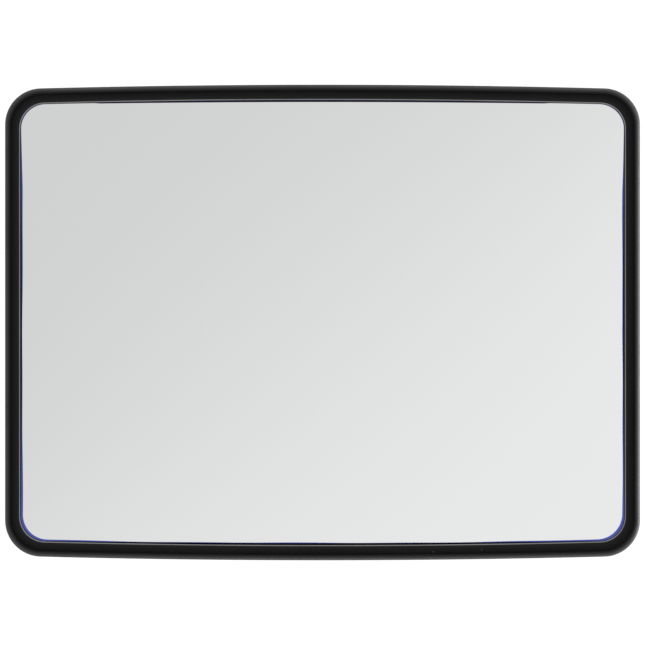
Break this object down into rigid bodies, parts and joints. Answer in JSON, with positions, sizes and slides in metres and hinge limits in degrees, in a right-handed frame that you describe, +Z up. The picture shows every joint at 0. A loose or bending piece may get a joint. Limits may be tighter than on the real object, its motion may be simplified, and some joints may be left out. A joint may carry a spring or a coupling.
{
  "type": "convex security mirror",
  "caption": "Rectangular convex acrylic mirror with a black rubber edge trim, on a telescopic wall bracket with locking pivots.",
  "frame": {"origin": "centre of the wall plate's face that lies on the wall", "axes": "+Z up, +X to the right as seen from the room, the mirror faces -Y and the wall is the X-Z plane"},
  "size_m": [0.61, 0.2895, 0.457],
  "materials": {
    "black_powder_coat": "satin",
    "zinc_plated_steel": "satin",
    "nylon": "matte",
    "black_plastic": "matte",
    "bright_tube": "polished",
    "hardboard": "satin",
    "foam": "matte",
    "mirror": "polished",
    "rubber": "satin"
  },
  "bodies": {
    "base": {"wall_plate": "black_powder_coat", "wall_swivel_bolt": "zinc_plated_steel", "wall_swivel_nut": "zinc_plated_steel", "wall_swivel_washer": "zinc_plated_steel", "wall_thrust_washer": "nylon"},
    "wall_joint": {"wall_yoke": "black_powder_coat", "wall_pivot_bolt": "zinc_plated_steel", "wall_pivot_washer": "zinc_plated_steel", "wall_friction_washers": "nylon"},
    "wall_clamp": {"wall_clamp_washer": "zinc_plated_steel"},
    "wall_wing": {"wall_wing_nut": "zinc_plated_steel"},
    "outer_arm": {"rear_knuckle": "black_powder_coat", "outer_tube": "black_powder_coat", "outer_tube_pin": "zinc_plated_steel", "lock_boss": "black_powder_coat", "guide_bush": "black_plastic"},
    "length_pad": {"lock_pad": "nylon"},
    "length_lock": {"lock_screw": "zinc_plated_steel", "lock_knob": "black_plastic"},
    "inner_arm": {"inner_tube": "bright_tube", "slide_bush": "black_plastic", "front_knuckle": "black_powder_coat", "inner_tube_pin": "zinc_plated_steel"},
    "mirror_joint": {"mirror_yoke": "black_powder_coat", "mirror_pivot_bolt": "zinc_plated_steel", "mirror_pivot_washer": "zinc_plated_steel", "mirror_friction_washers": "nylon"},
    "mirror_clamp": {"mirror_clamp_washer": "zinc_plated_steel"},
    "mirror_wing": {"mirror_wing_nut": "zinc_plated_steel"},
    "mirror_head": {"roll_bolt": "zinc_plated_steel", "roll_nut": "zinc_plated_steel", "roll_washer": "zinc_plated_steel", "roll_thrust_washer": "nylon", "back_plate": "black_powder_coat", "back_plate_bolts": "zinc_plated_steel", "back_plate_nuts": "zinc_plated_steel", "back_plate_washers": "zinc_plated_steel", "inner_plate": "zinc_plated_steel", "back_board": "hardboard", "flange_gasket": "foam", "mirror_lens": "mirror", "edge_trim": "rubber"}
  },
  "joints": [
    {"name": "wall_swivel", "type": "hinge", "parent": "base", "child": "wall_joint", "pos_m": [0, -0.008, 0], "axis": [0, -1, 0], "range_deg": [-90, 90]},
    {"name": "arm_pan", "type": "hinge", "parent": "wall_joint", "child": "outer_arm", "pos_m": [0, -0.03605, 0], "axis": [0, 0, 1], "range_deg": [-35, 35]},
    {"name": "wall_clamp_travel", "type": "slide", "parent": "wall_joint", "child": "wall_clamp", "axis": [0, 0, -1], "range_m": [0, 0.00125]},
    {"name": "wall_clamp_turn", "type": "hinge", "parent": "wall_clamp", "child": "wall_wing", "pos_m": [0, -0.03605, -0.025], "axis": [0, 0, -1], "range_deg": [-360, 0]},
    {"name": "lock_travel", "type": "slide", "parent": "outer_arm", "child": "length_pad", "axis": [0, 0, -1], "range_m": [0, 0.001]},
    {"name": "lock_turn", "type": "hinge", "parent": "length_pad", "child": "length_lock", "pos_m": [0, -0.13905, -0.025], "axis": [0, 0, -1], "range_deg": [-360, 0]},
    {"name": "arm_extension", "type": "slide", "parent": "outer_arm", "child": "inner_arm", "axis": [0, -1, 0], "range_m": [0, 0.05]},
    {"name": "mirror_tilt", "type": "hinge", "parent": "inner_arm", "child": "mirror_joint", "pos_m": [0, -0.19655, 0], "axis": [1, 0, 0], "range_deg": [-30, 30]},
    {"name": "mirror_clamp_travel", "type": "slide", "parent": "mirror_joint", "child": "mirror_clamp", "axis": [1, 0, 0], "range_m": [0, 0.00125]},
    {"name": "mirror_clamp_turn", "type": "hinge", "parent": "mirror_clamp", "child": "mirror_wing", "pos_m": [0.025, -0.19655, 0], "axis": [1, 0, 0], "range_deg": [-360, 0]},
    {"name": "mirror_roll", "type": "hinge", "parent": "mirror_joint", "child": "mirror_head", "pos_m": [0, -0.22655, 0], "axis": [0, -1, 0], "range_deg": [-90, 90]}
  ],
  "couplings": [
    {"joint": "wall_clamp_turn", "follows": "wall_clamp_travel", "rad_per_m": -5026.5},
    {"joint": "lock_turn", "follows": "lock_travel", "rad_per_m": -6283.2},
    {"joint": "mirror_clamp_turn", "follows": "mirror_clamp_travel", "rad_per_m": -5026.5}
  ]
}
